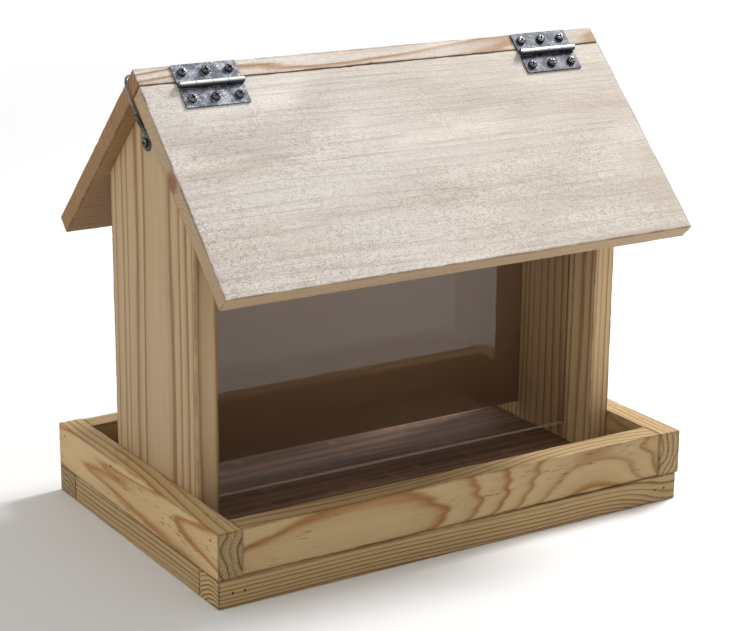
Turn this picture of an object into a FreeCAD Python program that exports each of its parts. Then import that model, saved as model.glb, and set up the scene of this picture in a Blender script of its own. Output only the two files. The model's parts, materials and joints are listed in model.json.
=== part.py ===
import FreeCAD, Part
import os
from math import atan2, cos, degrees, pi, radians, sin, tan
from FreeCAD import Placement, Rotation, Vector

# Bird feeder: a wooden tray on a plinth, two gables with clear panes between them
# as a seed hopper, and a pitched roof whose front half lifts on two butt hinges.
# All lengths are in millimetres. X runs along the ridge, the lid faces -Y, Z is up,
# and the origin is the middle of the footprint on the ground.

# Plinth strips under the tray
PLINTH_WIDTH = 28.0
PLINTH_HEIGHT = 21.0
PLINTH_SHORT = 2.5

# Tray rails and floor
TRAY_LENGTH = 400.0
TRAY_DEPTH = 260.0
RAIL_THICKNESS = 19.0
RAIL_HEIGHT = 34.0
RAIL_SET_BACK = 1.5
FLOOR_THICKNESS = 3.0
FLOOR_CLEARANCE = 0.3

# Gables and panes
GABLE_THICKNESS = 17.5
GABLE_WIDTH = 129.0
PANE_THICKNESS = 3.0
PANE_SPACING = 62.0
PANE_LIFT = 14.0
PANE_HEADROOM = 7.0
PANE_BACK_GAP = 1.0
GROOVE_DEPTH = 6.0
GROOVE_CLEARANCE = 0.2
PANE_END_GAP = 1.0

# Roof boards
ROOF_OVERHANG_LEFT = 11.0
ROOF_OVERHANG_RIGHT = 19.0
ROOF_PITCH = 45.0
ROOF_THICKNESS = 14.0
ROOF_SLOPE = 185.0
RIDGE_HEIGHT = 347.0
LID_GAP = 0.5
LID_REST_GAP = 0.8

# Butt hinges on the ridge
HINGE_LENGTH = 50.0
HINGE_WIDTH = 36.0
HINGE_END_GAP = 27.5
HINGE_DROP = 18.5
LEAF_THICKNESS = 1.2
LEAF_CORNER = 1.5
KNUCKLE_COUNT = 4
KNUCKLE_RADIUS = 2.5
KNUCKLE_LIFT = 0.3
KNUCKLE_GAP = 0.15
LEAF_NOTCH = 0.4
HINGE_PIN_RADIUS = 1.2
HINGE_PIN_CLEARANCE = 0.05
PIN_HEAD_RADIUS = 1.9
PIN_HEAD_HEIGHT = 0.7

# Pan head screws in the hinges
SCREW_ROW = 11.0
SCREW_PITCH = 18.3
SCREWS_PER_LEAF = 3
SCREW_RADIUS = 1.5
SCREW_LENGTH = 12.0
SCREW_HEAD_RADIUS = 3.25
SCREW_HEAD_HEIGHT = 2.3
SCREW_HOLE_CLEARANCE = 0.05
LEAF_HOLE_CLEARANCE = 0.2

# Cable hanger: a ring lug on each gable and one twisted cable between them
LUG_RADIUS = 6.0
LUG_THICKNESS = 1.0
LUG_BEHIND = 1.5
LUG_DROP = 52.0
LUG_BEND = 5.0
NECK_WIDTH = 8.0
NECK_LENGTH = 9.0
BARREL_RADIUS = 1.8
BARREL_LENGTH = 10.0
BARREL_OVERLAP = 2.0
HANGER_SCREW_RADIUS = 1.75
HANGER_SCREW_LENGTH = 15.0
HANGER_HEAD_RADIUS = 3.5
HANGER_HEAD_HEIGHT = 2.4
CABLE_RADIUS = 0.9
CABLE_LIFT = 1.2
CABLE_CORNER_CLEAR = 2.8
CABLE_EDGE_OUT = 4.0
CABLE_EDGE_IN = 2.5
CABLE_EDGE_DOWN = 12.0
CABLE_EDGE_LOW = 0.3
CABLE_EDGE_HIGH = 4.5
CABLE_EAVES_GAP = 59.0
CABLE_SKEW = 0.05
CABLE_INSET = 8.0
CABLE_ANGLES = (12.0, 26.0, 42.0, 58.0, 74.0)
CABLE_ARC_SHARE = 0.45

# Nails, all of one pattern
NAIL_RADIUS = 0.7
NAIL_HEAD_RADIUS = 1.0
NAIL_HEAD_HEIGHT = 1.0
NAIL_SET = 0.3
NAIL_CLEARANCE = 0.05
LONG_NAIL_LENGTH = 50.0
BASE_NAIL_LENGTH = 40.0
GABLE_NAIL_LENGTH = 34.0
ROOF_NAIL_LENGTH = 40.0
PLINTH_NAIL_INSET = 11.0
PLINTH_NAIL_PITCH = 9.0
RAIL_NAIL_RISE = 26.0
GABLE_NAIL_FRONT = 60.0
GABLE_NAIL_FRONT_RISE = 22.0
GABLE_NAIL_BACK = 37.0
GABLE_NAIL_BACK_RISE = 28.5
ROOF_NAIL_UPPER = 25.0
ROOF_NAIL_LOWER = 70.0
BASE_NAIL_END_GAP = 80.0
BASE_NAIL_SIDE_GAP = 60.0

# Values that follow from the ones above
X_AXIS = Vector(1, 0, 0)
Y_AXIS = Vector(0, 1, 0)
Z_AXIS = Vector(0, 0, 1)
PITCH = radians(ROOF_PITCH)
RAIL_BOTTOM = PLINTH_HEIGHT
RAIL_TOP = RAIL_BOTTOM + RAIL_HEIGHT
FLOOR_TOP = PLINTH_HEIGHT + FLOOR_THICKNESS
TRAY_INNER_X = TRAY_LENGTH / 2 - RAIL_THICKNESS
RAIL_FACE_Y = TRAY_DEPTH / 2 - RAIL_SET_BACK
TRAY_INNER_Y = RAIL_FACE_Y - RAIL_THICKNESS
GABLE_OUTER = TRAY_INNER_X
GABLE_INNER = GABLE_OUTER - GABLE_THICKNESS
PANE_Y = PANE_SPACING / 2
STRIP_WIDTH = ROOF_THICKNESS / sin(2 * PITCH)
EDGE_SLANT = ROOF_THICKNESS / tan(2 * PITCH)
AXIS_LIFT = KNUCKLE_RADIUS + KNUCKLE_LIFT
ROOF_LEFT = -GABLE_OUTER - ROOF_OVERHANG_LEFT
ROOF_RIGHT = GABLE_OUTER + ROOF_OVERHANG_RIGHT
ROOF_MIDDLE = (ROOF_LEFT + ROOF_RIGHT) / 2
ROOF_HALF = (ROOF_RIGHT - ROOF_LEFT) / 2
PLINTH_LEFT = -TRAY_LENGTH / 2
PLINTH_RIGHT = TRAY_LENGTH / 2 - PLINTH_SHORT
PANE_BOTTOM = FLOOR_TOP + PANE_LIFT
RIDGE = Vector(0, 0, RIDGE_HEIGHT)
# On the front slope local Y runs up to the ridge, on the rear slope it runs down from it.
FRONT_SLOPE = Placement(RIDGE, Rotation(X_AXIS, ROOF_PITCH))
REAR_SLOPE = Placement(RIDGE, Rotation(X_AXIS, -ROOF_PITCH))


def block(x_range, y_range, z_range):
    """A box between two values on each axis."""
    corner = Vector(x_range[0], y_range[0], z_range[0])
    return Part.makeBox(x_range[1] - x_range[0], y_range[1] - y_range[0], z_range[1] - z_range[0], corner)


def bar(profile, x_from, x_to):
    """A prism along X from a list of (y, z) corners."""
    points = [Vector(x_from, y, z) for y, z in profile]
    face = Part.Face(Part.makePolygon(points + points[:1]))
    return face.extrude(Vector(x_to - x_from, 0, 0))


def moved(shape, placement):
    """The shape carried by a placement on top of its own."""
    copy = shape.copy()
    copy.Placement = placement.multiply(copy.Placement)
    return copy


def drilled(board, holes):
    """The board with each hole cut out of it."""
    return board.cut(holes).removeSplitter()


def nail(point, direction, length, clearance=0.0):
    """One nail set below a face at point; with a clearance it is the hole for that nail."""
    start = point if clearance else point + direction * NAIL_SET
    head_depth = NAIL_HEAD_HEIGHT + (NAIL_SET if clearance else 0.0)
    head = Part.makeCylinder(NAIL_HEAD_RADIUS + clearance, head_depth, start, direction)
    shank_start = point + direction * NAIL_SET
    shank = Part.makeCylinder(NAIL_RADIUS + clearance, length + clearance, shank_start, direction)
    return head.fuse(shank).removeSplitter()


def nails(places, length):
    """The nails of one group as separate solids."""
    return Part.makeCompound([nail(point, direction, length) for point, direction in places])


def nail_holes(places, length):
    """The holes for one group of nails."""
    return [nail(point, direction, length, NAIL_CLEARANCE) for point, direction in places]


def plinth_nail_places():
    """Two nails through each end of the front and back strips into the side strips."""
    places = []
    for facing in (-1, 1):
        for end, inward in ((PLINTH_LEFT, 1), (PLINTH_RIGHT, -1)):
            for step in range(2):
                x = end + inward * (PLINTH_NAIL_INSET + step * PLINTH_NAIL_PITCH)
                places.append((Vector(x, facing * TRAY_DEPTH / 2, PLINTH_HEIGHT / 2), Y_AXIS * -facing))
    return places


def rail_nail_places():
    """One nail through each end of the side rails into the front and back rails."""
    rail_middle = RAIL_FACE_Y - RAIL_THICKNESS / 2
    height = RAIL_BOTTOM + RAIL_NAIL_RISE
    return [(Vector(side * TRAY_LENGTH / 2, facing * rail_middle, height), X_AXIS * -side)
            for side in (-1, 1) for facing in (-1, 1)]


def gable_nail_places():
    """Two nails through each side rail into the foot of the gable."""
    places = []
    for side in (-1, 1):
        face = side * TRAY_LENGTH / 2
        front = Vector(face, -GABLE_NAIL_FRONT, RAIL_BOTTOM + GABLE_NAIL_FRONT_RISE)
        back = Vector(face, GABLE_NAIL_BACK, RAIL_BOTTOM + GABLE_NAIL_BACK_RISE)
        places += [(front, X_AXIS * -side), (back, X_AXIS * -side)]
    return places


def roof_nail_places():
    """Two nails through the rear roof board into the top of each gable."""
    middle = GABLE_OUTER - GABLE_THICKNESS / 2
    inward = REAR_SLOPE.Rotation.multVec(Vector(0, 0, -1))
    return [(REAR_SLOPE.multVec(Vector(side * middle, down, 0)), inward)
            for side in (-1, 1) for down in (ROOF_NAIL_UPPER, ROOF_NAIL_LOWER)]


def base_nail_places():
    """Nails from below through the plinth strips into the rails."""
    across = RAIL_FACE_Y - RAIL_THICKNESS / 2
    along = TRAY_LENGTH / 2 - RAIL_THICKNESS / 2
    far_x = TRAY_LENGTH / 2 - BASE_NAIL_END_GAP
    far_y = TRAY_DEPTH / 2 - BASE_NAIL_SIDE_GAP
    spots = [(x, y) for x in (-far_x, far_x) for y in (-across, across)]
    spots += [(x, y) for x in (-along, along) for y in (-far_y, far_y)]
    return [(Vector(x, y, 0), Z_AXIS) for x, y in spots]


def plinth_strips():
    """Two long strips at the front and back with two short ones between them."""
    inner = TRAY_DEPTH / 2 - PLINTH_WIDTH
    height = (0, PLINTH_HEIGHT)
    long_way = (PLINTH_LEFT, PLINTH_RIGHT)
    holes = nail_holes(plinth_nail_places(), LONG_NAIL_LENGTH)
    holes += nail_holes(base_nail_places(), BASE_NAIL_LENGTH)
    strips = {
        "plinth_front": block(long_way, (-TRAY_DEPTH / 2, -inner), height),
        "plinth_back": block(long_way, (inner, TRAY_DEPTH / 2), height),
        "plinth_left": block((PLINTH_LEFT, PLINTH_LEFT + PLINTH_WIDTH), (-inner, inner), height),
        "plinth_right": block((PLINTH_RIGHT - PLINTH_WIDTH, PLINTH_RIGHT), (-inner, inner), height),
    }
    return {name: drilled(strip, holes) for name, strip in strips.items()}


def tray_rails():
    """Side rails over the full depth, front and back rails between them."""
    height = (RAIL_BOTTOM, RAIL_TOP)
    half_length = TRAY_LENGTH / 2
    full_depth = (-TRAY_DEPTH / 2, TRAY_DEPTH / 2)
    between = (-TRAY_INNER_X, TRAY_INNER_X)
    holes = nail_holes(rail_nail_places(), LONG_NAIL_LENGTH)
    holes += nail_holes(gable_nail_places(), GABLE_NAIL_LENGTH)
    holes += nail_holes(base_nail_places(), BASE_NAIL_LENGTH)
    rails = {
        "rail_left": block((-half_length, -TRAY_INNER_X), full_depth, height),
        "rail_right": block((TRAY_INNER_X, half_length), full_depth, height),
        "rail_front": block(between, (-RAIL_FACE_Y, -TRAY_INNER_Y), height),
        "rail_back": block(between, (TRAY_INNER_Y, RAIL_FACE_Y), height),
    }
    return {name: drilled(rail, holes) for name, rail in rails.items()}


def tray_floor():
    """The hardboard floor, dropped inside the rails on to the plinth."""
    half_x = TRAY_INNER_X - FLOOR_CLEARANCE
    half_y = TRAY_INNER_Y - FLOOR_CLEARANCE
    return block((-half_x, half_x), (-half_y, half_y), (PLINTH_HEIGHT, FLOOR_TOP))


def rear_underside(y):
    """Height of the rear roof board's underside."""
    return RIDGE_HEIGHT - ROOF_THICKNESS / cos(PITCH) - y * tan(PITCH)


def lid_underside(y):
    """Height of the closed lid's underside, for y in front of the ridge."""
    return RIDGE_HEIGHT - ROOF_THICKNESS / cos(PITCH) + y * tan(PITCH)


def gable(side):
    """One gable board with its roof angles, two stopped pane grooves and fixing holes."""
    half = GABLE_WIDTH / 2
    rest_drop = LID_REST_GAP / cos(PITCH)
    peak = LID_REST_GAP / (2 * sin(PITCH))
    profile = [(-half, FLOOR_TOP), (half, FLOOR_TOP), (half, rear_underside(half)),
               (peak, rear_underside(peak)), (-half, lid_underside(-half) - rest_drop)]
    inner = side * GABLE_INNER
    outer = side * GABLE_OUTER
    board = bar(profile, min(inner, outer), max(inner, outer))
    groove_end = inner + side * GROOVE_DEPTH
    reach = PANE_THICKNESS / 2 + GROOVE_CLEARANCE
    cuts = [block((min(inner, groove_end), max(inner, groove_end)), (y - reach, y + reach),
                  (PANE_BOTTOM, RIDGE_HEIGHT)) for y in (-PANE_Y, PANE_Y)]
    cuts += nail_holes(gable_nail_places(), GABLE_NAIL_LENGTH)
    cuts += nail_holes(roof_nail_places(), ROOF_NAIL_LENGTH)
    cuts.append(hanger_screw_hole(side))
    return drilled(board, cuts)


def pane(y, top):
    """A clear pane standing on the stopped ends of its grooves."""
    half = GABLE_INNER + GROOVE_DEPTH - PANE_END_GAP
    return block((-half, half), (y - PANE_THICKNESS / 2, y + PANE_THICKNESS / 2), (PANE_BOTTOM, top))


def roof_back_board():
    """The fixed roof board; its top edge shows as a strip along the front of the ridge."""
    profile = [(0, 0), (ROOF_SLOPE, 0), (ROOF_SLOPE, -ROOF_THICKNESS), (-EDGE_SLANT, -ROOF_THICKNESS)]
    board = moved(bar(profile, ROOF_LEFT, ROOF_RIGHT), REAR_SLOPE)
    holes = nail_holes(roof_nail_places(), ROOF_NAIL_LENGTH) + leaf_screw_holes(1)
    return drilled(board, holes)


def lid_board():
    """The lifting roof board, closed against the underside edge of the fixed board."""
    top = STRIP_WIDTH + LID_GAP
    profile = [(-top, 0), (-ROOF_SLOPE, 0), (-ROOF_SLOPE, -ROOF_THICKNESS),
               (EDGE_SLANT - top, -ROOF_THICKNESS)]
    board = moved(bar(profile, ROOF_LEFT, ROOF_RIGHT), FRONT_SLOPE)
    return drilled(board, leaf_screw_holes(-1))


def hinge_places():
    """Placement of each hinge: its origin is the middle of the pin."""
    places = []
    from_middle = ROOF_HALF - HINGE_END_GAP - HINGE_LENGTH / 2
    for side in (-1, 1):
        centre = Vector(ROOF_MIDDLE + side * from_middle, -HINGE_DROP, AXIS_LIFT)
        places.append(FRONT_SLOPE.multiply(Placement(centre, Rotation())))
    return places


def screw_spots(half):
    """Centres of the screw holes of one leaf on the wood, from the hinge's origin."""
    middle = (SCREWS_PER_LEAF - 1) / 2
    return [Vector((step - middle) * SCREW_PITCH, half * SCREW_ROW, -AXIS_LIFT)
            for step in range(SCREWS_PER_LEAF)]


def knuckle_ends(number):
    """Both ends of one knuckle along the pin."""
    length = HINGE_LENGTH / KNUCKLE_COUNT
    start = -HINGE_LENGTH / 2 + number * length
    return start + KNUCKLE_GAP / 2, start + length - KNUCKLE_GAP / 2


def hinge_leaf(half):
    """One leaf with its rolled knuckles; half is 1 on the fixed board and -1 on the lid."""
    notch = KNUCKLE_RADIUS + LEAF_NOTCH
    thickness = (-AXIS_LIFT, LEAF_THICKNESS - AXIS_LIFT)
    edge = half * HINGE_WIDTH / 2
    plate = block((-HINGE_LENGTH / 2, HINGE_LENGTH / 2), sorted((half * notch, edge)), thickness)
    corners = [line for line in plate.Edges
               if all(abs(end.Point.y - edge) < NAIL_CLEARANCE for end in line.Vertexes)
               and abs(line.Vertexes[0].Point.z - line.Vertexes[1].Point.z) > NAIL_CLEARANCE]
    leaf = plate.makeFillet(LEAF_CORNER, corners)
    bores = []
    for number in range(0 if half > 0 else 1, KNUCKLE_COUNT, 2):
        start, end = knuckle_ends(number)
        base = Vector(start, 0, 0)
        tongue = block((start, end), sorted((0, half * notch)), thickness)
        barrel = Part.makeCylinder(KNUCKLE_RADIUS, end - start, base, X_AXIS)
        leaf = leaf.fuse([tongue, barrel])
        bores.append(Part.makeCylinder(HINGE_PIN_RADIUS + HINGE_PIN_CLEARANCE, end - start, base, X_AXIS))
    hole_radius = SCREW_RADIUS + LEAF_HOLE_CLEARANCE
    holes = [Part.makeCylinder(hole_radius, LEAF_THICKNESS, spot, Z_AXIS) for spot in screw_spots(half)]
    return leaf.cut(bores + holes).removeSplitter()


def hinge_pin():
    """The pin with a small head at each end."""
    start = knuckle_ends(0)[0]
    end = knuckle_ends(KNUCKLE_COUNT - 1)[1]
    pin = Part.makeCylinder(HINGE_PIN_RADIUS, end - start, Vector(start, 0, 0), X_AXIS)
    heads = [Part.makeCone(PIN_HEAD_RADIUS, HINGE_PIN_RADIUS, PIN_HEAD_HEIGHT, Vector(at, 0, 0), facing)
             for at, facing in ((start, -X_AXIS), (end, X_AXIS))]
    return pin.fuse(heads).removeSplitter()


def pan_screw(radius, length, head_radius, head_height):
    """A pan head screw along Z with the underside of its head at the origin."""
    head = Part.makeCylinder(head_radius, head_height)
    rim = [line for line in head.Edges if abs(line.BoundBox.ZMin - head_height) < NAIL_CLEARANCE]
    head = head.makeFillet(head_height / 2, rim)
    shank = Part.makeCylinder(radius, length - radius, Vector(0, 0, 0), -Z_AXIS)
    tip = Part.makeCone(radius, radius / 3, radius, Vector(0, 0, radius - length), -Z_AXIS)
    return head.fuse([shank, tip]).removeSplitter()


def leaf_screws(half):
    """The screws of both leaves on one roof board as separate solids."""
    screw = pan_screw(SCREW_RADIUS, SCREW_LENGTH, SCREW_HEAD_RADIUS, SCREW_HEAD_HEIGHT)
    on_leaf = Vector(0, 0, LEAF_THICKNESS)
    spots = [place.multiply(Placement(spot + on_leaf, Rotation()))
             for place in hinge_places() for spot in screw_spots(half)]
    return Part.makeCompound([moved(screw, spot) for spot in spots])


def leaf_screw_holes(half):
    """The holes for those screws in the roof board."""
    depth = SCREW_LENGTH - LEAF_THICKNESS + SCREW_HOLE_CLEARANCE
    hole = Part.makeCylinder(SCREW_RADIUS + SCREW_HOLE_CLEARANCE, depth, Vector(0, 0, 0), -Z_AXIS)
    return [moved(hole, place.multiply(Placement(spot, Rotation())))
            for place in hinge_places() for spot in screw_spots(half)]


def lug_face(side):
    """The point on a gable's outer face where the ring lug is screwed."""
    return Vector(side * GABLE_OUTER, LUG_BEHIND, RIDGE_HEIGHT - LUG_DROP)


def hanger_screw(side):
    """The screw through a ring lug into the gable."""
    screw = pan_screw(HANGER_SCREW_RADIUS, HANGER_SCREW_LENGTH, HANGER_HEAD_RADIUS, HANGER_HEAD_HEIGHT)
    under_head = lug_face(side) + X_AXIS * (side * LUG_THICKNESS)
    return moved(screw, Placement(under_head, Rotation(Z_AXIS, X_AXIS * side)))


def hanger_screw_hole(side):
    """The hole for that screw in the gable."""
    depth = HANGER_SCREW_LENGTH - LUG_THICKNESS + SCREW_HOLE_CLEARANCE
    radius = HANGER_SCREW_RADIUS + SCREW_HOLE_CLEARANCE
    return Part.makeCylinder(radius, depth, lug_face(side), X_AXIS * -side)


def roof_end(side):
    """X of one end of the roof."""
    return ROOF_MIDDLE + side * ROOF_HALF


def first_bend(side):
    """Where the cable, straight from its lug, turns up past the end of the roof."""
    return Vector(roof_end(side) + side * CABLE_CORNER_CLEAR, LUG_BEHIND, rear_underside(LUG_BEHIND))


def lug_neck(side):
    """Placement of a lug's neck: its origin is the bend, and local Z points along the cable."""
    bend = lug_face(side) + Vector(side * LUG_THICKNESS / 2, 0, LUG_BEND)
    aim = first_bend(side) - bend
    lean = degrees(atan2(aim.x, aim.z))
    return Placement(bend, Rotation(Y_AXIS, lean))


def hanger_lug(side):
    """A ring lug: a flat ring, a tapering neck bent away from the gable and a crimped barrel."""
    ring = Part.makeCylinder(LUG_RADIUS, LUG_THICKNESS, lug_face(side), X_AXIS * side)
    taper = [(-NECK_WIDTH / 2, 0), (NECK_WIDTH / 2, 0),
             (BARREL_RADIUS, NECK_LENGTH), (-BARREL_RADIUS, NECK_LENGTH)]
    neck = bar(taper, -LUG_THICKNESS / 2, LUG_THICKNESS / 2)
    barrel_start = Vector(0, 0, NECK_LENGTH - BARREL_OVERLAP)
    barrel = Part.makeCylinder(BARREL_RADIUS, BARREL_LENGTH, barrel_start, Z_AXIS)
    place = lug_neck(side)
    lug = ring.fuse([moved(neck, place), moved(barrel, place)])
    hole_radius = HANGER_SCREW_RADIUS + LEAF_HOLE_CLEARANCE
    hole = Part.makeCylinder(hole_radius, LUG_THICKNESS, lug_face(side), X_AXIS * side)
    gable_room = block(sorted((side * GABLE_INNER, side * GABLE_OUTER)),
                       (LUG_BEHIND - NECK_WIDTH, LUG_BEHIND + NECK_WIDTH), (0, RIDGE_HEIGHT))
    return lug.cut([hole, gable_room]).removeSplitter()


def cable_half(side):
    """Cable points from one lug's barrel to just short of the middle of the rear slope."""
    end = roof_end(side)
    start = lug_neck(side).multVec(Vector(0, 0, NECK_LENGTH - BARREL_OVERLAP + BARREL_LENGTH))
    over_edge = [Vector(end + side * CABLE_EDGE_OUT, CABLE_EDGE_DOWN, CABLE_EDGE_LOW),
                 Vector(end - side * CABLE_EDGE_IN, CABLE_EDGE_DOWN, CABLE_EDGE_HIGH)]
    droop = [slope_point(side, CABLE_ANGLES[0], 2 * CABLE_LIFT)]
    droop += [slope_point(side, angle, CABLE_LIFT) for angle in CABLE_ANGLES[1:]]
    return [start, first_bend(side)] + [REAR_SLOPE.multVec(point) for point in over_edge + droop]


def slope_point(side, angle, lift):
    """A point of the cable's half-ellipse lying on the rear slope."""
    reach = ROOF_HALF - CABLE_INSET
    swing = cos(radians(angle))
    sag = ROOF_SLOPE - CABLE_EAVES_GAP
    fall = sag * sin(radians(angle)) * (1 - side * CABLE_SKEW * swing)
    return Vector(ROOF_MIDDLE + side * reach * swing, fall, lift)


def cable_points():
    """All cable points from the left lug to the right one."""
    lowest = REAR_SLOPE.multVec(slope_point(1, 90.0, CABLE_LIFT))
    return cable_half(-1) + [lowest] + cable_half(1)[::-1]


def rounded_path(points):
    """Straight runs joined by tangent arcs, with the arc radii."""
    edges = []
    radii = []
    last = points[0]
    for before, corner, after in zip(points, points[1:], points[2:]):
        inward = (before - corner).normalize()
        outward = (after - corner).normalize()
        trim = CABLE_ARC_SHARE * min((before - corner).Length, (after - corner).Length)
        half_turn = (pi - inward.getAngle(outward)) / 2
        radius = trim / tan(half_turn)
        bisector = (inward + outward).normalize()
        first = corner + inward * trim
        second = corner + outward * trim
        middle = corner + bisector * (radius / cos(half_turn) - radius)
        edges.append(Part.LineSegment(last, first).toShape())
        edges.append(Part.Arc(first, middle, second).toShape())
        radii.append(radius)
        last = second
    edges.append(Part.LineSegment(last, points[-1]).toShape())
    return Part.Wire(edges), radii


def hanger_cable():
    """The cable as one round tube from barrel to barrel."""
    points = cable_points()
    path, radii = rounded_path(points)
    section = Part.Wire(Part.makeCircle(CABLE_RADIUS, points[0], points[1] - points[0]))
    tube = path.makePipeShell([section], True, False)
    expected = path.Length * pi * CABLE_RADIUS ** 2
    print("cable length %.1f, radii %s" % (path.Length, " ".join("%.1f" % radius for radius in radii)))
    print("cable volume %.1f, section times length %.1f" % (tube.Volume, expected))
    return tube


def hinge_parts():
    """Leaves and pin of both hinges."""
    parts = {}
    for name, place in zip(("left", "right"), hinge_places()):
        parts["hinge_%s_roof_leaf" % name] = moved(hinge_leaf(1), place)
        parts["hinge_%s_lid_leaf" % name] = moved(hinge_leaf(-1), place)
        parts["hinge_%s_pin" % name] = moved(hinge_pin(), place)
    return parts


def feeder():
    """Every node of the feeder by name."""
    parts = {}
    parts.update(plinth_strips())
    parts["tray_floor"] = tray_floor()
    parts.update(tray_rails())
    parts["gable_left"] = gable(-1)
    parts["gable_right"] = gable(1)
    face = PANE_Y + PANE_THICKNESS / 2
    parts["pane_front"] = pane(-PANE_Y, lid_underside(-face) - PANE_HEADROOM)
    parts["pane_back"] = pane(PANE_Y, rear_underside(face) - PANE_BACK_GAP)
    parts["roof_back_board"] = roof_back_board()
    parts["lid_board"] = lid_board()
    parts.update(hinge_parts())
    parts["hinge_screws_roof"] = leaf_screws(1)
    parts["hinge_screws_lid"] = leaf_screws(-1)
    parts["hanger_screws"] = Part.makeCompound([hanger_screw(-1), hanger_screw(1)])
    parts["hanger_lug_left"] = hanger_lug(-1)
    parts["hanger_lug_right"] = hanger_lug(1)
    parts["hanger_cable"] = hanger_cable()
    parts["plinth_nails"] = nails(plinth_nail_places(), LONG_NAIL_LENGTH)
    parts["rail_nails"] = nails(rail_nail_places(), LONG_NAIL_LENGTH)
    parts["gable_nails"] = nails(gable_nail_places(), GABLE_NAIL_LENGTH)
    parts["roof_nails"] = nails(roof_nail_places(), ROOF_NAIL_LENGTH)
    parts["base_nails"] = nails(base_nail_places(), BASE_NAIL_LENGTH)
    return parts


def main():
    """Write one STEP file for each node."""
    os.makedirs("parts", exist_ok=True)
    for name, shape in feeder().items():
        if not shape.isValid():
            raise ValueError("%s is not a valid shape" % name)
        print("%-24s solids %2d volume %.0f" % (name, len(shape.Solids), shape.Volume))
        shape.exportStep("parts/%s.step" % name)


main()
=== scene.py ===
import json
from collections import namedtuple
from math import cos, pi, radians, sin

import bpy
from bpy.props import FloatProperty, FloatVectorProperty, IntProperty, PointerProperty
from mathutils import Matrix, Vector, noise


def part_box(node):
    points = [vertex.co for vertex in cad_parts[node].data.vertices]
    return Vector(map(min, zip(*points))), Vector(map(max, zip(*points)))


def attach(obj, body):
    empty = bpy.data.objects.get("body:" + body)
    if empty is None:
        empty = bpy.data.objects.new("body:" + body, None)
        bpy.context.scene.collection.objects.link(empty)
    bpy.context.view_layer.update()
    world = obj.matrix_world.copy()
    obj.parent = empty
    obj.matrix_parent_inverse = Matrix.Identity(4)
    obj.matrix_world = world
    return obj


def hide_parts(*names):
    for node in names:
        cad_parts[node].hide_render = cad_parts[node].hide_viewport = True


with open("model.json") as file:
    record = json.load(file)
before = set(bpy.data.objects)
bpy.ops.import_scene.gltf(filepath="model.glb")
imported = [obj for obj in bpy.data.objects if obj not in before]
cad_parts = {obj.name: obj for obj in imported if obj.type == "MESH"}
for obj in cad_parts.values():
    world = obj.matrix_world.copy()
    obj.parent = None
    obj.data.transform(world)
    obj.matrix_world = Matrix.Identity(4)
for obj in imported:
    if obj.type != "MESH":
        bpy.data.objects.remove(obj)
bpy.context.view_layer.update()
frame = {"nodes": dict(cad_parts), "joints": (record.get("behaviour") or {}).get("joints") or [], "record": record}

bl_info = {
    "name": "Bird feeder",
    "version": (1, 0, 0),
    "blender": (4, 5, 0),
    "location": "3D View > Sidebar > Feeder",
    "description": "Dresses the packed feeder in worn pine, clear panes, zinc hinges and a wire hanger",
    "category": "Object",
}


# Settings that a user would change

def colour(name, description, default):
    """A colour property in scene linear values."""
    return FloatVectorProperty(name=name, description=description, default=default, subtype="COLOR",
                               size=3, min=0.0, max=1.0)


def pale(wood, default):
    """The colour of a wood's pale early growth."""
    return colour(f"{wood} pale", f"Pale growth, {wood.lower()}", default)


def dark(wood, default):
    """The colour of a wood's dark late growth."""
    return colour(f"{wood} dark", f"Dark growth, {wood.lower()}", default)


def length(name, description, default):
    """A length property in metres."""
    return FloatProperty(name=name, description=description, default=default, unit="LENGTH", precision=5)


def tilt(name, description, degrees):
    """An angle property, given in degrees."""
    return FloatProperty(name=name, description=description, default=radians(degrees), subtype="ANGLE")


def amount(name, description, default, **more):
    """A number that is never negative."""
    return FloatProperty(name=name, description=description, default=default, min=0.0, **more)


class WoodSettings(bpy.types.PropertyGroup):
    """Colours of the pine boards and the hardboard floor."""
    roof_early: pale("Roof", (0.72, 0.67, 0.615))
    roof_late: dark("Lid", (0.46, 0.345, 0.255))
    ridge_late: dark("Ridge", (0.42, 0.235, 0.115))
    lid_raw_early: pale("Raw lid", (0.46, 0.33, 0.20))
    lid_raw_late: dark("Raw lid", (0.27, 0.14, 0.06))
    # Unweathered wood of the rear board's underside and ends, darkened further as painted shade for its underside
    rear_raw_and_shade_early: pale("Raw rear board", (0.33, 0.19, 0.085))
    rear_raw_late: dark("Raw rear board", (0.20, 0.085, 0.03))
    gable_early: pale("Gable", (0.49, 0.355, 0.20))
    gable_late: dark("Gable", (0.27, 0.14, 0.055))
    rail_early: pale("Rail", (0.545, 0.392, 0.197))
    rail_late: dark("Rail", (0.33, 0.155, 0.045))
    plinth_early: pale("Plinth", (0.485, 0.34, 0.16))
    plinth_late: dark("Plinth", (0.20, 0.10, 0.035))
    stain: colour("Stain", "Resin marks", (0.12, 0.055, 0.028))
    knot: colour("Knot", "Heart of a knot", (0.20, 0.075, 0.04))
    streak: colour("Streak", "Long streak through a knot of the roof", (0.52, 0.33, 0.27))
    blush: colour("Blush", "Blotches of the bleached faces", (0.49, 0.395, 0.35))
    right_end_shade: colour("Right end shade", "Painted shade towards the right end of the roof", (0.55, 0.47, 0.38))
    hardboard: colour("Hardboard", "Smooth dark tray floor", (0.21, 0.122, 0.08))


class BoardSettings(bpy.types.PropertyGroup):
    """Shape of the boards' edges."""
    edge: length("Edge rounding", "Width of the rounded edges", 0.0008)
    step: length("Wear step", "Distance between points along a worn edge", 0.004)
    wear: amount("Wear", "How unevenly the edges are worn", 0.8, max=2.0)
    pitch: tilt("Roof pitch", "Slope of both roof boards", 45)


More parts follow.
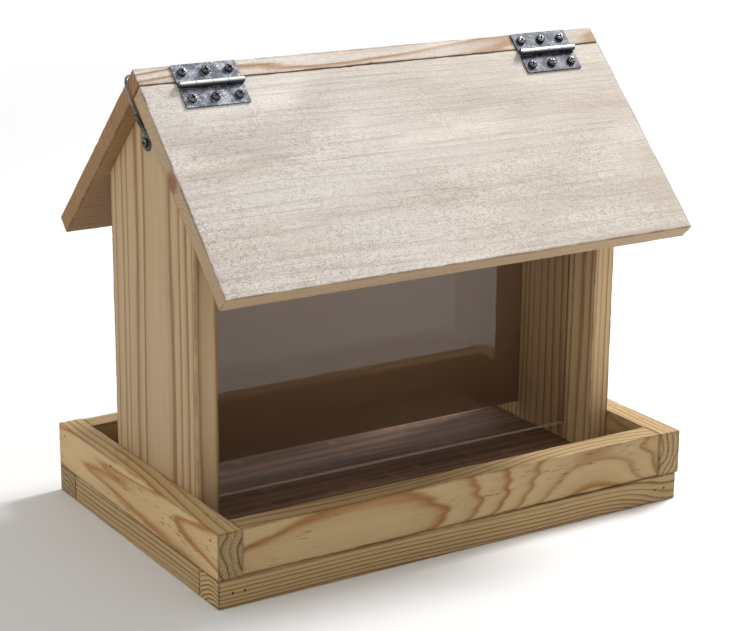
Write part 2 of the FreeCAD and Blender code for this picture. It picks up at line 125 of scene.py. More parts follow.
class HardwareSettings(bpy.types.PropertyGroup):
    """Finish of the hinges, screws, lugs, wire and panes."""
    zinc_light: colour("Zinc light", "Lighter clouds of the zinc plating", (0.165, 0.173, 0.195))
    zinc_dark: colour("Zinc dark", "Darker clouds of the zinc plating", (0.055, 0.057, 0.070))
    zinc_fleck: colour("Zinc flecks", "Light flecks of the zinc plating", (0.66, 0.69, 0.74))
    # Colour of the painted highlight along the crest of each knuckle
    knuckle_highlight: colour("Knuckle highlight", "Painted highlight along the crest of the knuckles", (0.66, 0.66, 0.64))
    # Painted light and shade: the left hinge's zinc is made lighter and the right hinge's darker
    left_hinge_light: amount("Left zinc", "How light the left hinge is", 1.1)
    right_hinge_shade: amount("Right zinc", "How light the right hinge is", 0.42)
    screw: colour("Screws", "Plated screw heads", (0.12, 0.119, 0.118))
    lug: colour("Lug", "Dull tinned lugs", (0.09, 0.096, 0.10))
    wire: colour("Wire", "Twisted wire", (0.23, 0.225, 0.22))
    nail: colour("Nail", "Dull nail heads", (0.07, 0.055, 0.045))
    pane: colour("Front pane", "Shine of the clear front pane", (0.90, 0.86, 0.82))
    pane_edge: colour("Pane edge", "Sawn lower edge of the front pane", (0.62, 0.55, 0.47))
    # Painted shade: the rear pane is tinted dark brown to stand for the dark surroundings seen through it
    rear_pane: colour("Rear pane", "Painted dark surroundings seen through the rear pane", (0.235, 0.140, 0.080))
    rear_shade_cover: amount("Rear shade cover", "How much light each face of the rear pane stops", 0.77, max=1.0,
                  subtype="FACTOR")
    strands: IntProperty(name="Strands", description="Wires twisted together in the hanger", default=3,
                         min=2, max=7)
    lay: length("Lay", "Length of one twist of the wire", 0.007)


class StageSettings(bpy.types.PropertyGroup):
    """Camera and lights."""
    lens: amount("Lens", "Focal length on a 36 mm sensor", 96.86, unit="CAMERA")
    azimuth: tilt("Azimuth", "Camera turn about the vertical", -32.395)
    elevation: tilt("Elevation", "Camera height angle", 16.59)
    roll: tilt("Roll", "Camera roll", 0.524)
    distance: length("Distance", "Camera distance from the origin along its view", 1.56658)
    across: length("Across", "Camera offset to its right", 0.00552)
    above: length("Above", "Camera offset upwards", 0.13773)
    sky: amount("Sky", "Strength of the even light", 0.50)
    key: amount("Key", "Power of the large lamp", 62.0, unit="POWER")
    fill: amount("Fill", "Power of the side lamp", 4.0, unit="POWER")


class FeederSettings(bpy.types.PropertyGroup):
    """All settings of the feeder."""
    wood: PointerProperty(type=WoodSettings, name="Wood", description="Board colours")
    boards: PointerProperty(type=BoardSettings, name="Boards", description="Board edges")
    hardware: PointerProperty(type=HardwareSettings, name="Hardware", description="Metal and panes")
    stage: PointerProperty(type=StageSettings, name="Stage", description="Camera and lights")


def settings():
    """The settings kept on the scene."""
    return bpy.context.scene.feeder


# Shader maths

def arithmetic(operation, swapped=False):
    """A method that adds a Math node, with its sides swapped for a reflected form."""
    def method(self, *others):
        sides = (*others, self) if swapped else (self, *others)
        return self.nodes.math(operation, *sides)
    return method


class Field:
    """A shader value that takes part in Python arithmetic by adding Math nodes."""
    __add__ = arithmetic("ADD")
    __radd__ = arithmetic("ADD", True)
    __sub__ = arithmetic("SUBTRACT")
    __rsub__ = arithmetic("SUBTRACT", True)
    __mul__ = arithmetic("MULTIPLY")
    __rmul__ = arithmetic("MULTIPLY", True)
    __truediv__ = arithmetic("DIVIDE")
    __rtruediv__ = arithmetic("DIVIDE", True)
    __abs__ = arithmetic("ABSOLUTE")
    fract = arithmetic("FRACT")
    floor = arithmetic("FLOOR")
    exp = arithmetic("EXPONENT")

    def __init__(self, nodes, socket):
        self.nodes = nodes
        self.socket = socket

    def above(self, low, high):
        """A smooth step from 0 at low to 1 at high."""
        values = {"Value": self, "From Min": low, "From Max": high}
        return self.nodes.node("ShaderNodeMapRange", {"interpolation_type": "SMOOTHSTEP"}, values, "Result")


class Nodes:
    """A node tree that is filled in code."""

    def __init__(self, tree):
        self.tree = tree
        self.tree.nodes.clear()

    def node(self, kind, options=None, values=None, output=0):
        """One output of any new node: options are set first, then values or links of its sockets."""
        made = self.tree.nodes.new(kind)
        for key, value in (options or {}).items():
            if key == "stops":
                self.set_stops(made.color_ramp, value)
            else:
                setattr(made, key, value)
        for key, value in (values or {}).items():
            if isinstance(value, Field):
                self.tree.links.new(value.socket, made.inputs[key])
            else:
                made.inputs[key].default_value = value
        return Field(self, made.outputs[output]) if made.outputs else None

    def set_stops(self, ramp, stops):
        """Grey levels at places along a ramp."""
        while len(ramp.elements) < len(stops):
            ramp.elements.new(1.0)
        for element, (place, grey) in zip(ramp.elements, stops):
            element.position = place
            element.color = (grey, grey, grey, 1.0)

    def math(self, operation, *values):
        return self.node("ShaderNodeMath", {"operation": operation}, dict(enumerate(values)))

    def vector(self, operation, *values):
        """Vector maths; a length or dot product comes back as a number."""
        output = "Value" if operation in ("LENGTH", "DOT_PRODUCT") else "Vector"
        return self.node("ShaderNodeVectorMath", {"operation": operation}, dict(enumerate(values)), output)


class Paint(Nodes):
    """A material whose nodes are added in code."""

    def __init__(self, name):
        self.material = bpy.data.materials.new(name)
        self.material.use_nodes = True
        super().__init__(self.material.node_tree)

    @property
    def position(self):
        """Object coordinates."""
        return self.node("ShaderNodeTexCoord", output="Object")

    @property
    def normal(self):
        """The way the surface faces."""
        return self.node("ShaderNodeTexCoord", output="Normal")

    def part(self, vector, axis):
        """One component of a vector."""
        return self.node("ShaderNodeSeparateXYZ", None, {0: vector}, axis)

    def place(self, turn, origin):
        """Object coordinates about an origin, in the axes that are the rows of turn."""
        values = {"Vector": self.position, "Location": -(turn @ origin), "Rotation": turn.to_euler()}
        return self.node("ShaderNodeMapping", {"vector_type": "POINT"}, values)

    def facing(self, direction):
        """How far a surface faces along a direction, either way."""
        return abs(self.vector("DOT_PRODUCT", self.normal, tuple(direction)))

    def noise(self, vector, scale, detail=2.0, roughness=0.5, distortion=0.0, output=0):
        """Noise on coordinates stretched by a scale for each axis."""
        values = {"Vector": self.vector("MULTIPLY", vector, scale), "Scale": 1.0, "Detail": detail,
                  "Roughness": roughness, "Distortion": distortion}
        return self.node("ShaderNodeTexNoise", None, values, output)

    def mix(self, factor, first, second):
        """Two colours mixed by a factor."""
        values = {0: factor, 6: opaque(first), 7: opaque(second)}
        return self.node("ShaderNodeMix", {"data_type": "RGBA", "blend_type": "MIX"}, values, 2)

    def surface(self, base, roughness, height=None, depth=None, **constants):
        """The material with a plain surface; height is bumped by depth metres."""
        values = {"Base Color": opaque(base), "Roughness": roughness}
        values.update({key.replace("_", " "): value for key, value in constants.items()})
        if height is not None:
            bump = {"Height": height, "Distance": depth, "Strength": 1.0}
            values["Normal"] = self.node("ShaderNodeBump", None, bump)
        return self.shown(self.node("ShaderNodeBsdfPrincipled", None, values))

    def shown(self, shader):
        """The material with a shader on its output."""
        self.node("ShaderNodeOutputMaterial", None, {"Surface": shader})
        return self.material


def opaque(value):
    """A plain colour with its alpha, or a linked colour as it is."""
    if isinstance(value, Field):
        return value
    return tuple(value)[:3] + (1.0,)


def tinted(tone, factor):
    """A colour made lighter or darker."""
    return tuple(min(1.0, factor * value) for value in tone)


# How each board was cut from its log

AXES_X = Matrix.Identity(3)
AXES_Y = Matrix(((0, 1, 0), (-1, 0, 0), (0, 0, 1)))
AXES_Z = Matrix(((0, 0, 1), (0, 1, 0), (-1, 0, 0)))
UP = Vector((0.0, 0.0, 1.0))

# pith: the log's centre from the board's middle, across and through it; lean: turn of the log;
# ring: width of a year's growth; wander: how far the log bends; contrast: strength of the dark growth;
# dashes: strength of the resin marks; tone and ends: how light the board and its end grain are
Cut = namedtuple("Cut", "pith lean ring wander contrast dashes knots tone ends", defaults=((), 1.0, 1.0))

# A knot's place along, across and through its board, its size, and how far it pushes the rings aside
Knot = namedtuple("Knot", "along across through size pull")

FRONT_PLINTH_KNOT = Knot(0.196, -0.014, -0.016, 0.004, 0.012)
FRONT_RAIL_KNOT = Knot(0.128, -0.0095, -0.024, 0.002, 0.034)
LID_KNOTS = (Knot(-0.196, 0.012, -0.001, 0.011, 0.011), Knot(0.190, 0.029, 0.004, 0.005, 0.008))

CUTS = {
    "plinth_front": Cut((-0.012, -0.034), (0.0, 0.012), 0.0033, 0.006, 1.35, 0.2, (FRONT_PLINTH_KNOT,),
                        tone=0.94, ends=1.6),
    "plinth_back": Cut((0.012, -0.040), (0.0, -0.015), 0.0040, 0.006, 1.2, 0.2),
    "plinth_left": Cut((0.014, -0.030), (0.0, 0.02), 0.0044, 0.005, 1.25, 0.2),
    "plinth_right": Cut((-0.010, -0.034), (0.0, -0.02), 0.0043, 0.006, 1.2, 0.2),
    "rail_front": Cut((0.032, -0.006), (0.01, 0.05), 0.0058, 0.012, 1.3, 0.8, (FRONT_RAIL_KNOT,), tone=0.90),
    "rail_back": Cut((-0.030, 0.004), (0.02, -0.04), 0.0080, 0.012, 1.15, 0.8),
    # The left rail's tone of 1.15 is painted light
    "rail_left": Cut((-0.030, -0.004), (0.02, 0.04), 0.0054, 0.014, 1.25, 1.0, tone=1.15, ends=0.66),
    "rail_right": Cut((0.030, 0.006), (-0.02, 0.05), 0.0050, 0.008, 1.15, 0.8),
    "gable_left": Cut((-0.008, -0.038), (0.003, 0.006), 0.0074, 0.003, 1.25, 0.1),
    # The right gable's tone of 1.30 is painted light, lifting its inner face behind the panes
    "gable_right": Cut((-0.030, 0.050), (-0.004, 0.008), 0.0046, 0.003, 1.25, 0.1, tone=1.30),
    "roof_back_board": Cut((-0.118, -0.012), (0.10, 0.03), 0.0050, 0.010, 1.6, 0.2),
    "lid_board": Cut((-0.050, -0.060), (0.01, 0.02), 0.0046, 0.006, 0.8, 0.25, LID_KNOTS),
}

KNOT_SHAPE = (0.5, 1.0, 1.0)
STREAK_SHAPE = (0.05, 1.0, 0.3)
STREAK_WIDTH = 0.006
SEASONS = ((0.0, 0.10), (0.2, 0.0), (0.62, 0.20), (0.87, 1.0), (1.0, 0.10))
RAW_ROOF_RINGS = 0.25
BROAD_ROOF_RINGS = 0.4
DIRTY_EDGE = (0.0002, 0.0020)
GRAIN_DEPTH = 0.0004

Board = namedtuple("Board", "node turn middle half")
Bleach = namedtuple("Bleach", "early late weather")


def log_axes(turn, lean):
    """The board's axes turned by the log's lean."""
    across = Matrix.Rotation(lean[0], 3, "Y")
    through = Matrix.Rotation(lean[1], 3, "Z")
    return across @ through @ turn


class Pine(Paint):
    """Pine cut from a log with its own pith, rings, knots, resin marks and end grain."""

    def __init__(self, board, early, late):
        super().__init__(board.node)
        self.wood = settings().wood
        self.cut = CUTS[board.node]
        self.half = board.half
        self.axes = board.turn
        self.early = tinted(early, self.cut.tone)
        self.late = tinted(late, self.cut.tone)
        pith = board.middle + board.turn.transposed() @ Vector((0.0, *self.cut.pith))
        self.board = self.place(board.turn, board.middle)
        self.log = self.place(log_axes(board.turn, self.cut.lean), pith)
        self.fibre = self.grain(18.0, 1100.0, 3.0, 0.6)
        self.cloud = self.grain(7.0, 22.0, 3.0)
        self.pores = self.grain(900.0, 900.0, 2.0, 0.7)
        self.end = self.facing(self.axes[0]).above(0.6, 0.9)

    def grain(self, along, across, *more):
        """Noise with one scale along the board and another across and through it."""
        return self.noise(self.board, (along, across, across), *more)

    def from_knot(self, knot, shape):
        """Distance from a knot's heart, scaled along each axis by a shape."""
        offset = self.vector("SUBTRACT", self.board, (knot.along, knot.across, knot.through))
        return self.vector("LENGTH", self.vector("MULTIPLY", offset, shape))

    def log_radius(self):
        """Distance from the log's bent centre, swollen about the knots, and the bent coordinates."""
        bend = self.noise(self.log, (3.0, 10.0, 10.0), 1.0, output="Color")
        bend = self.vector("SUBTRACT", bend, (0.5, 0.5, 0.5))
        wander = 2 * self.cut.wander
        grown = self.vector("ADD", self.log, self.vector("MULTIPLY", bend, (0.0, wander, wander)))
        radius = self.vector("LENGTH", self.vector("MULTIPLY", grown, (0.0, 1.0, 1.0)))
        fuzz = self.noise(self.log, (30.0, 220.0, 220.0), 2.0)
        radius = radius + (fuzz - 0.5) * 0.0012
        for knot in self.cut.knots:
            near = self.from_knot(knot, KNOT_SHAPE)
            swelling = (near * near * (-0.35 / (knot.pull * knot.pull))).exp()
            radius = radius + swelling * (1.4 * knot.pull)
        return radius, grown

    def rings(self):
        """Dark growth of each year, strongest near its outer edge and stronger in some years."""
        radius, grown = self.log_radius()
        uneven = self.noise(grown, (0.3, 60.0, 60.0), 1.0)
        years = radius / self.cut.ring + (uneven - 0.5) * 1.6
        growth = self.node("ShaderNodeValToRGB", {"stops": SEASONS}, {0: years.fract()})
        year = self.node("ShaderNodeTexWhiteNoise", {"noise_dimensions": "1D"}, {"W": years.floor()})
        return growth * (year * 0.55 + 0.5) * self.cut.contrast

    def resin(self):
        """Short dark dashes in loose groups."""
        marks = self.grain(90.0, 900.0, 1.0).above(0.64, 0.72)
        groups = self.grain(14.0, 70.0, 2.0).above(0.46, 0.60)
        return marks * groups * self.cut.dashes

    def edges(self):
        """Where two faces meet: the middle one of the three distances to the faces is small."""
        gaps = [reach - abs(self.part(self.board, axis)) for axis, reach in enumerate(self.half)]
        nearer = self.math("MINIMUM", gaps[0], gaps[1])
        farther = self.math("MAXIMUM", gaps[0], gaps[1])
        middle = self.math("MAXIMUM", nearer, self.math("MINIMUM", farther, gaps[2]))
        rubbed = self.grain(60.0, 60.0, 3.0).above(0.30, 0.62)
        return (1.0 - middle.above(*DIRTY_EDGE)) * rubbed

    def worn_side(self):
        """More felted towards the lower left, and in patches elsewhere."""
        patch = self.grain(11.0, 18.0, 3.0)
        lower_left = self.part(self.board, 0) * -1.1 + self.part(self.board, 1) * -3.2
        return (lower_left + (patch - 0.5) * 1.6).above(-0.45, 0.65) * 0.85 + 0.15

    def grained(self, rings, early, late):
        """Long grain: rings, clouds and fibres."""
        shade = (self.fibre - 0.5) * 0.55 + (self.cloud - 0.5) * 0.8
        tone = self.mix(rings, early, late)
        tone = self.mix(shade.above(0.0, 0.5) * 0.38, tone, tinted(late, 0.55))
        return self.mix((0.0 - shade).above(0.0, 0.5) * 0.25, tone, tinted(early, 1.25))

    def raw(self, rings, dashes):
        """Planed faces: long grain, resin marks and knots."""
        tone = self.grained(rings, self.early, self.late)
        tone = self.mix(dashes * 0.7, tone, self.wood.stain)
        for knot in self.cut.knots:
            mark = 1.0 - self.from_knot(knot, KNOT_SHAPE).above(0.35 * knot.size, knot.size)
            tone = self.mix(mark * 0.75, tone, self.wood.knot)
        return tone

    def sawn(self, rings):
        """End grain: rings with dark and pale pores."""
        ends = self.cut.ends
        tone = self.mix(rings, tinted(self.early, 0.85 * ends), tinted(self.late, 0.5 * ends))
        tone = self.mix(self.pores.above(0.50, 0.66) * 0.40, tone, tinted(self.late, 0.45))
        return self.mix((1.0 - self.pores.above(0.34, 0.48)) * 0.35, tone, tinted(self.early, 1.25))

    def bleached(self, tone, rings, felt, bleach):
        """A raw tone with bleached upper faces: blotched, lined and felted, with fainter rings and painted shade
        towards the right end.
        """
        early, late, weather = bleach
        broad = self.facing(self.axes[2]).above(0.6, 0.9)
        worn = self.grained(rings * (1.0 - broad * (1.0 - BROAD_ROOF_RINGS)), early, late)
        layers = (
            (0.50, self.grain(6.0, 22.0, 4.0).above(0.40, 0.70), self.wood.blush),
            (0.70, self.grain(9.0, 40.0, 4.0).above(0.46, 0.72), tinted(early, 1.25)),
            (0.36, self.grain(7.0, 330.0, 4.0, 0.65).above(0.50, 0.70), tinted(late, 0.85)),
            # Painted shade: darker towards the right end of each roof board
            (0.50, self.part(self.board, 0).above(-0.10, 0.22), self.wood.right_end_shade),
            (0.70, felt * self.worn_side(), tinted(late, 0.58)),
        )
        for strength, where, layer in layers:
            worn = self.mix(where * (strength * weather), worn, layer)
        for knot in self.cut.knots:
            streak = 1.0 - self.from_knot(knot, STREAK_SHAPE).above(0.0, STREAK_WIDTH)
            worn = self.mix(streak * 0.4, worn, self.wood.streak)
        return self.mix(self.part(self.normal, 2).above(0.2, 0.5), tone, worn)

    def finish(self, bleach=None):
        """The whole board, with end grain, or with bleached upper faces where bleach is given."""
        rings = self.rings()
        dashes = self.resin()
        height = self.fibre * 0.5 + rings * 0.35 - dashes * 0.4 + (self.pores * 1.6 + rings) * self.end
        if bleach is None:
            tone = self.mix(self.end, self.raw(rings, dashes), self.sawn(rings))
        else:
            felt = self.grain(330.0, 470.0, 3.0, 0.65, 1.6).above(0.42, 0.70)
            tone = self.bleached(self.raw(rings * RAW_ROOF_RINGS, dashes), rings, felt, bleach)
            height = height - felt * 0.35
        tone = self.mix(self.edges() * 0.55, tone, tinted(self.late, 0.5))
        rough = 0.64 + (self.fibre - 0.5) * 0.25 + self.end * 0.12
        return self.surface(tone, rough, height, GRAIN_DEPTH, Specular_IOR_Level=0.3)


# Other materials

HARDBOARD_RELIEF = 0.0001
ZINC_RELIEF = 0.00004
PIT_DEPTH = 0.00008
KNUCKLE_ZONE = (0.0026, 0.0029)
SMEARS = (12.0, 12.0, 30.0)
SAWN_FADE = 0.0003


def hardboard():
    """Smooth dark board with faint streaks and a low sheen."""
    paint = Paint("hardboard")
    streaks = paint.noise(paint.position, (6.0, 160.0, 160.0), 3.0)
    mottle = paint.noise(paint.position, (60.0, 60.0, 60.0), 3.0)
    base = settings().wood.hardboard
    tone = paint.mix(streaks.above(0.35, 0.7), tinted(base, 0.7), tinted(base, 1.5))
    tone = paint.mix(mottle.above(0.55, 0.75) * 0.4, tone, tinted(base, 2.2))
    height = mottle * 0.4 + streaks * 0.6
    return paint.surface(tone, 0.50 + streaks * 0.2, height, HARDBOARD_RELIEF, Specular_IOR_Level=0.30)


def zinc(name, tone):
    """Dark zinc plating with fine light flecks and a painted highlight along the crest of the knuckles; tone
    scales the plating as painted light and shade.
    """
    paint = Paint(name)
    hardware = settings().hardware
    place = paint.place(AXES_X, Vector(frame["joints"][0]["pos_m"]))
    cloud = paint.noise(place, (170.0, 170.0, 170.0), 3.0)
    flecks = paint.noise(place, (1300.0, 1300.0, 1300.0), 2.0, 0.6)
    scratch = paint.noise(place, (60.0, 1500.0, 1500.0), 2.0)
    # tone paints light on the left hinge and shade on the right hinge
    clouds = tinted(hardware.zinc_dark, tone), tinted(hardware.zinc_light, tone)
    base = paint.mix(cloud.above(0.35, 0.7), *clouds)
    bright = flecks.above(0.56, 0.68) * (0.35 + cloud.above(0.40, 0.60) * 0.65)
    base = paint.mix(bright * 0.8, base, tinted(hardware.zinc_fleck, tone))
    from_axis = paint.vector("LENGTH", paint.vector("MULTIPLY", place, (0.0, 1.0, 1.0)))
    knuckle = 1.0 - from_axis.above(*KNUCKLE_ZONE)
    # Painted highlight: the knuckles turn light where they face out of the roof, with dark zinc elsewhere
    crest = paint.facing(outward(True)).above(0.74, 0.97)
    base = paint.mix(knuckle, base, paint.mix(crest, hardware.zinc_dark, hardware.knuckle_highlight))
    rough = 0.32 + cloud * 0.20 + scratch * 0.08 - knuckle * 0.14
    return paint.surface(base, rough, cloud * 0.5 + scratch * 0.5, ZINC_RELIEF, Metallic=1.0)


def dull_metal(name, tone, metallic=0.85, rough=0.42):
    """Dull dark metal with small pits."""
    paint = Paint(name)
    pits = paint.noise(paint.position, (900.0, 900.0, 900.0), 3.0, 0.6)
    cloud = paint.noise(paint.position, (180.0, 180.0, 180.0), 2.0)
    base = paint.mix(cloud.above(0.3, 0.7), tinted(tone, 0.6), tinted(tone, 1.4))
    return paint.surface(base, rough + pits * 0.25, pits, PIT_DEPTH, Metallic=metallic)


def clear_sheet(name, sawn):
    """Clear acrylic: a faint mirror at a low angle, with smears, and a pale sawn edge up to a height."""
    paint = Paint(name)
    hardware = settings().hardware
    smear = paint.noise(paint.position, SMEARS, 3.0).above(0.45, 0.8)
    edge = 1.0 - paint.part(paint.position, 2).above(sawn, sawn + SAWN_FADE)
    shine = paint.node("ShaderNodeLayerWeight", None, {"Blend": 0.5}, "Facing").above(0.32, 0.95)
    tone = paint.mix(edge, hardware.pane, hardware.pane_edge)
    seen = shine * 0.4 + edge * 0.45
    return paint.surface(tone, smear * 0.10 + 0.02, Metallic=1.0 - edge, Alpha=seen)


def painted_dark_sheet(name):
    """Clear acrylic painted dark brown as painted shade, standing for the dark surroundings seen through it; it
    lets a little light through, with a few smears.
    """
    paint = Paint(name)
    hardware = settings().hardware
    smear = paint.noise(paint.position, SMEARS, 3.0).above(0.45, 0.8)
    return paint.surface(hardware.rear_pane, smear * 0.08 + 0.04, Alpha=hardware.rear_shade_cover,
                         Specular_IOR_Level=0.2)


# Modelling by hand, in code

CUT_PAST = 0.002
MATCH = 0.0001
MERGE = 0.000005
FLAT = radians(0.5)
SHARP = radians(40)
SMOOTH = radians(50)
METAL_SMOOTH = radians(35)


def pick(obj):
    """Make one object the only one selected."""
    bpy.ops.object.select_all(action="DESELECT")
    obj.select_set(True)
    bpy.context.view_layer.objects.active = obj


def named(name):
    """Name the object that was just added and its mesh."""
    obj = bpy.context.object
    obj.name = name
    obj.data.name = name
    return obj


def add_box(name, low, high):
    """A box between two corners, with its place in its mesh."""
    bpy.ops.object.select_all(action="DESELECT")
    bpy.ops.mesh.primitive_cube_add(size=1.0, location=(low + high) / 2)
    bpy.context.object.scale = high - low
    bpy.ops.object.transform_apply(location=True, rotation=True, scale=True)
    return named(name)


def add_rod(name, radius, start, end, sides=24):
    """A cylinder between two points, with its place in its mesh."""
    bpy.ops.object.select_all(action="DESELECT")
    run = end - start
    turn = run.to_track_quat("Z", "Y").to_euler()
    bpy.ops.mesh.primitive_cylinder_add(vertices=sides, radius=radius, depth=run.length,
                                        location=(start + end) / 2, rotation=turn)
    bpy.ops.object.transform_apply(location=True, rotation=True, scale=True)
    return named(name)


def edit_edges(obj, test):
    """Enter edit mode with the edges selected whose two ends pass a test."""
    pick(obj)
    bpy.context.tool_settings.mesh_select_mode = (False, True, False)
    mesh = obj.data
    mesh.vertices.foreach_set("select", [False] * len(mesh.vertices))
    mesh.polygons.foreach_set("select", [False] * len(mesh.polygons))
    for edge in mesh.edges:
        first, second = (mesh.vertices[index].co for index in edge.vertices)
        edge.select = test(first, second)
    bpy.ops.object.mode_set(mode="EDIT")


def edit_whole(obj):
    """Enter edit mode with everything selected."""
    pick(obj)
    bpy.ops.object.mode_set(mode="EDIT")
    bpy.ops.mesh.select_all(action="SELECT")


def leave_edit():
    bpy.ops.object.mode_set(mode="OBJECT")


def any_edge(first, second):
    return True


def bevel_edges(obj, width, segments, test=any_edge):
    """Round the edges that pass a test."""
    edit_edges(obj, test)
    bpy.ops.mesh.bevel(offset=width, segments=segments, affect="EDGES", clamp_overlap=True)
    leave_edit()


def divide_along(obj, axis, step):
    """Cut the long edges along one axis into short steps."""
    places = [vertex.co[axis] for vertex in obj.data.vertices]
    span = max(places) - min(places)
    cuts = int(span / step)
    if cuts < 2:
        return

    def long_way(first, second):
        run = second - first
        return abs(run[axis]) > 0.999 * run.length and run.length > 0.5 * span

    edit_edges(obj, long_way)
    bpy.ops.mesh.subdivide(number_cuts=cuts)
    leave_edit()


def modify(obj, kind, **options):
    """Add a modifier, set its options and apply it."""
    pick(obj)
    bpy.ops.object.modifier_add(type=kind)
    modifier = obj.modifiers[-1]
    for key, value in options.items():
        setattr(modifier, key, value)
    bpy.ops.object.modifier_apply(modifier=modifier.name)


def smooth(obj, angle=SMOOTH):
    """Smooth shading over the rounded edges, with the broad faces left flat."""
    pick(obj)
    bpy.ops.object.shade_smooth_by_angle(angle=angle)
    modify(obj, "WEIGHTED_NORMAL", keep_sharp=True, weight=80)


def subtract(obj, cutter):
    """Cut one object out of another and delete the cutter."""
    modify(obj, "BOOLEAN", operation="DIFFERENCE", solver="EXACT", object=cutter)
    bpy.data.objects.remove(cutter)


def join(objs, name):
    """Join several objects into one."""
    bpy.ops.object.select_all(action="DESELECT")
    for obj in objs:
        obj.select_set(True)
    bpy.context.view_layer.objects.active = objs[0]
    bpy.ops.object.join()
    return named(name)


def copy_at(obj, place, name):
    """A copy with its own mesh, moved by a placement."""
    twin = obj.copy()
    twin.data = obj.data.copy()
    twin.name = name
    bpy.context.scene.collection.objects.link(twin)
    twin.data.transform(place)
    return twin


def clad(obj, material):
    """Give an object one material."""
    obj.data.materials.clear()
    obj.data.materials.append(material)


def softened(node, width):
    """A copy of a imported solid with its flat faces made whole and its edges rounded."""
    obj = copy_at(frame["nodes"][node], Matrix.Identity(4), node + "_visual")
    obj.parent = None
    for key in list(obj.keys()):
        del obj[key]
    edit_whole(obj)
    bpy.ops.mesh.remove_doubles(threshold=MERGE)
    bpy.ops.mesh.dissolve_limited(angle_limit=FLAT)
    leave_edit()
    modify(obj, "BEVEL", width=width, segments=2, limit_method="ANGLE", angle_limit=SHARP)
    smooth(obj, METAL_SMOOTH)
    return obj


def settle(obj, node, material):
    """Let a finished piece stand for its node: give it its material, attach it to the node's body and hide the
    node.
    """
    clad(obj, material)
    record = frame["record"]
    body = next(body for body, nodes in record["behaviour"]["bodies"].items() if node in nodes)
    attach(obj, body)
    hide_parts(node)


# Places on the roof

HINGE_MIDDLE = 0.004
HINGE_REACH = 0.1435
HINGE_AXIS = 0.0185


def slope(front):
    """Placement of a roof slope: X along the ridge, Y up the front or down the rear, Z outwards."""
    pitch = settings().boards.pitch
    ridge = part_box("roof_back_board")[1].z
    return Matrix.Translation((0.0, 0.0, ridge)) @ Matrix.Rotation(pitch if front else -pitch, 4, "X")


def outward(front):
    """The way a roof slope faces."""
    return slope(front).to_3x3() @ UP


def local_box(node, place):
    """Lowest and highest corners of a node in a placement's axes."""
    back = place.inverted()
    points = [back @ vertex.co for vertex in frame["nodes"][node].data.vertices]
    low = Vector(min(point[axis] for point in points) for axis in range(3))
    high = Vector(max(point[axis] for point in points) for axis in range(3))
    return low, high


# Nail heads in the boards

NAIL_SINK_RADIUS = 0.00105
NAIL_SINK_DEPTH = 0.0012
STRIP_NAILS = (0.011, 0.020)
RAIL_NAILS = ((-0.119, 0.047), (0.119, 0.047), (-0.060, 0.043), (0.037, 0.0495))
ROOF_NAILS = (0.025, 0.070)
ROOF_NAIL_X = 0.17225


def nail_marks(board):
    """Nail heads that show in a board: the middle of each and the way it faces."""
    low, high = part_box(board)
    if board in ("plinth_front", "plinth_back"):
        side, face = (-1.0, low.y) if board == "plinth_front" else (1.0, high.y)
        places = [low.x + inset for inset in STRIP_NAILS] + [high.x - inset for inset in STRIP_NAILS]
        height = (low.z + high.z) / 2
        return [(Vector((x, face, height)), Vector((0.0, side, 0.0))) for x in places]
    if board in ("rail_left", "rail_right"):
        side, face = (-1.0, low.x) if board == "rail_left" else (1.0, high.x)
        return [(Vector((face, y, z)), Vector((side, 0.0, 0.0))) for y, z in RAIL_NAILS]
    if board == "roof_back_board":
        places = [Vector((x, down, 0.0)) for x in (-ROOF_NAIL_X, ROOF_NAIL_X) for down in ROOF_NAILS]
        return [(slope(False) @ place, outward(False)) for place in places]
    return []


def sink_nails(obj, board):
    """Open the small round sinkings that the nail heads lie in."""
    for place, facing in nail_marks(board):
        bottom = place - facing * NAIL_SINK_DEPTH
        subtract(obj, add_rod("sinking", NAIL_SINK_RADIUS, bottom, place + facing * 2 * CUT_PAST))


# Boards

WEAR_WAVES = 60.0
CHIP_WAVES = 330.0
CHIP_LEVEL = 0.32
CHIP_GAIN = 3.2
LEAST_ROUNDING = 0.35


def sharp_edges(obj):
    """The straight edges of a plain board, before they are rounded."""
    points = [vertex.co.copy() for vertex in obj.data.vertices]
    return [(points[edge.vertices[0]], points[edge.vertices[1]]) for edge in obj.data.edges]


def rounding(along, number, seed, wear):
    """How much an edge is rounded at a distance along it: slow waves with small chips."""
    wave = noise.noise(Vector((along * WEAR_WAVES, 3.1 * number, seed)))
    chip = noise.noise(Vector((along * CHIP_WAVES, 7.7 * number, seed + 5.0)))
    factor = 1.0 + wear * wave + CHIP_GAIN * wear * max(0.0, chip - CHIP_LEVEL)
    return max(LEAST_ROUNDING, factor)


def wear_edges(obj, edges, width, wear, seed):
    """Vary the rounding along each edge, away from the corners."""
    for vertex in obj.data.vertices:
        for number, (start, end) in enumerate(edges):
            run = end - start
            along = (vertex.co - start).dot(run) / run.length
            if along < 3 * width or along > run.length - 3 * width:
                continue
            foot = start + run * (along / run.length)
            offset = vertex.co - foot
            if offset.length > 1.5 * width:
                continue
            vertex.co = foot + offset * rounding(along, number, seed, wear)
            break


def wear_board(obj, node, axes=(0, 1, 2)):
    """Round and wear a plain board's edges."""
    boards = settings().boards
    seed = 3.7 * sorted(CUTS).index(node)
    edges = sharp_edges(obj)
    bevel_edges(obj, boards.edge, 2)
    for axis in axes:
        divide_along(obj, axis, boards.step)
    wear_edges(obj, edges, boards.edge, boards.wear, seed)


def node_box(node):
    """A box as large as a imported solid, named as its finished piece."""
    low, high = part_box(node)
    return add_box(node + "_visual", low, high)


def straight(node, turn):
    """A board that lies along the axes, with its grain along the first row of turn."""
    low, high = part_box(node)
    half = turn @ ((high - low) / 2)
    return Board(node, turn, (low + high) / 2, tuple(abs(value) for value in half))


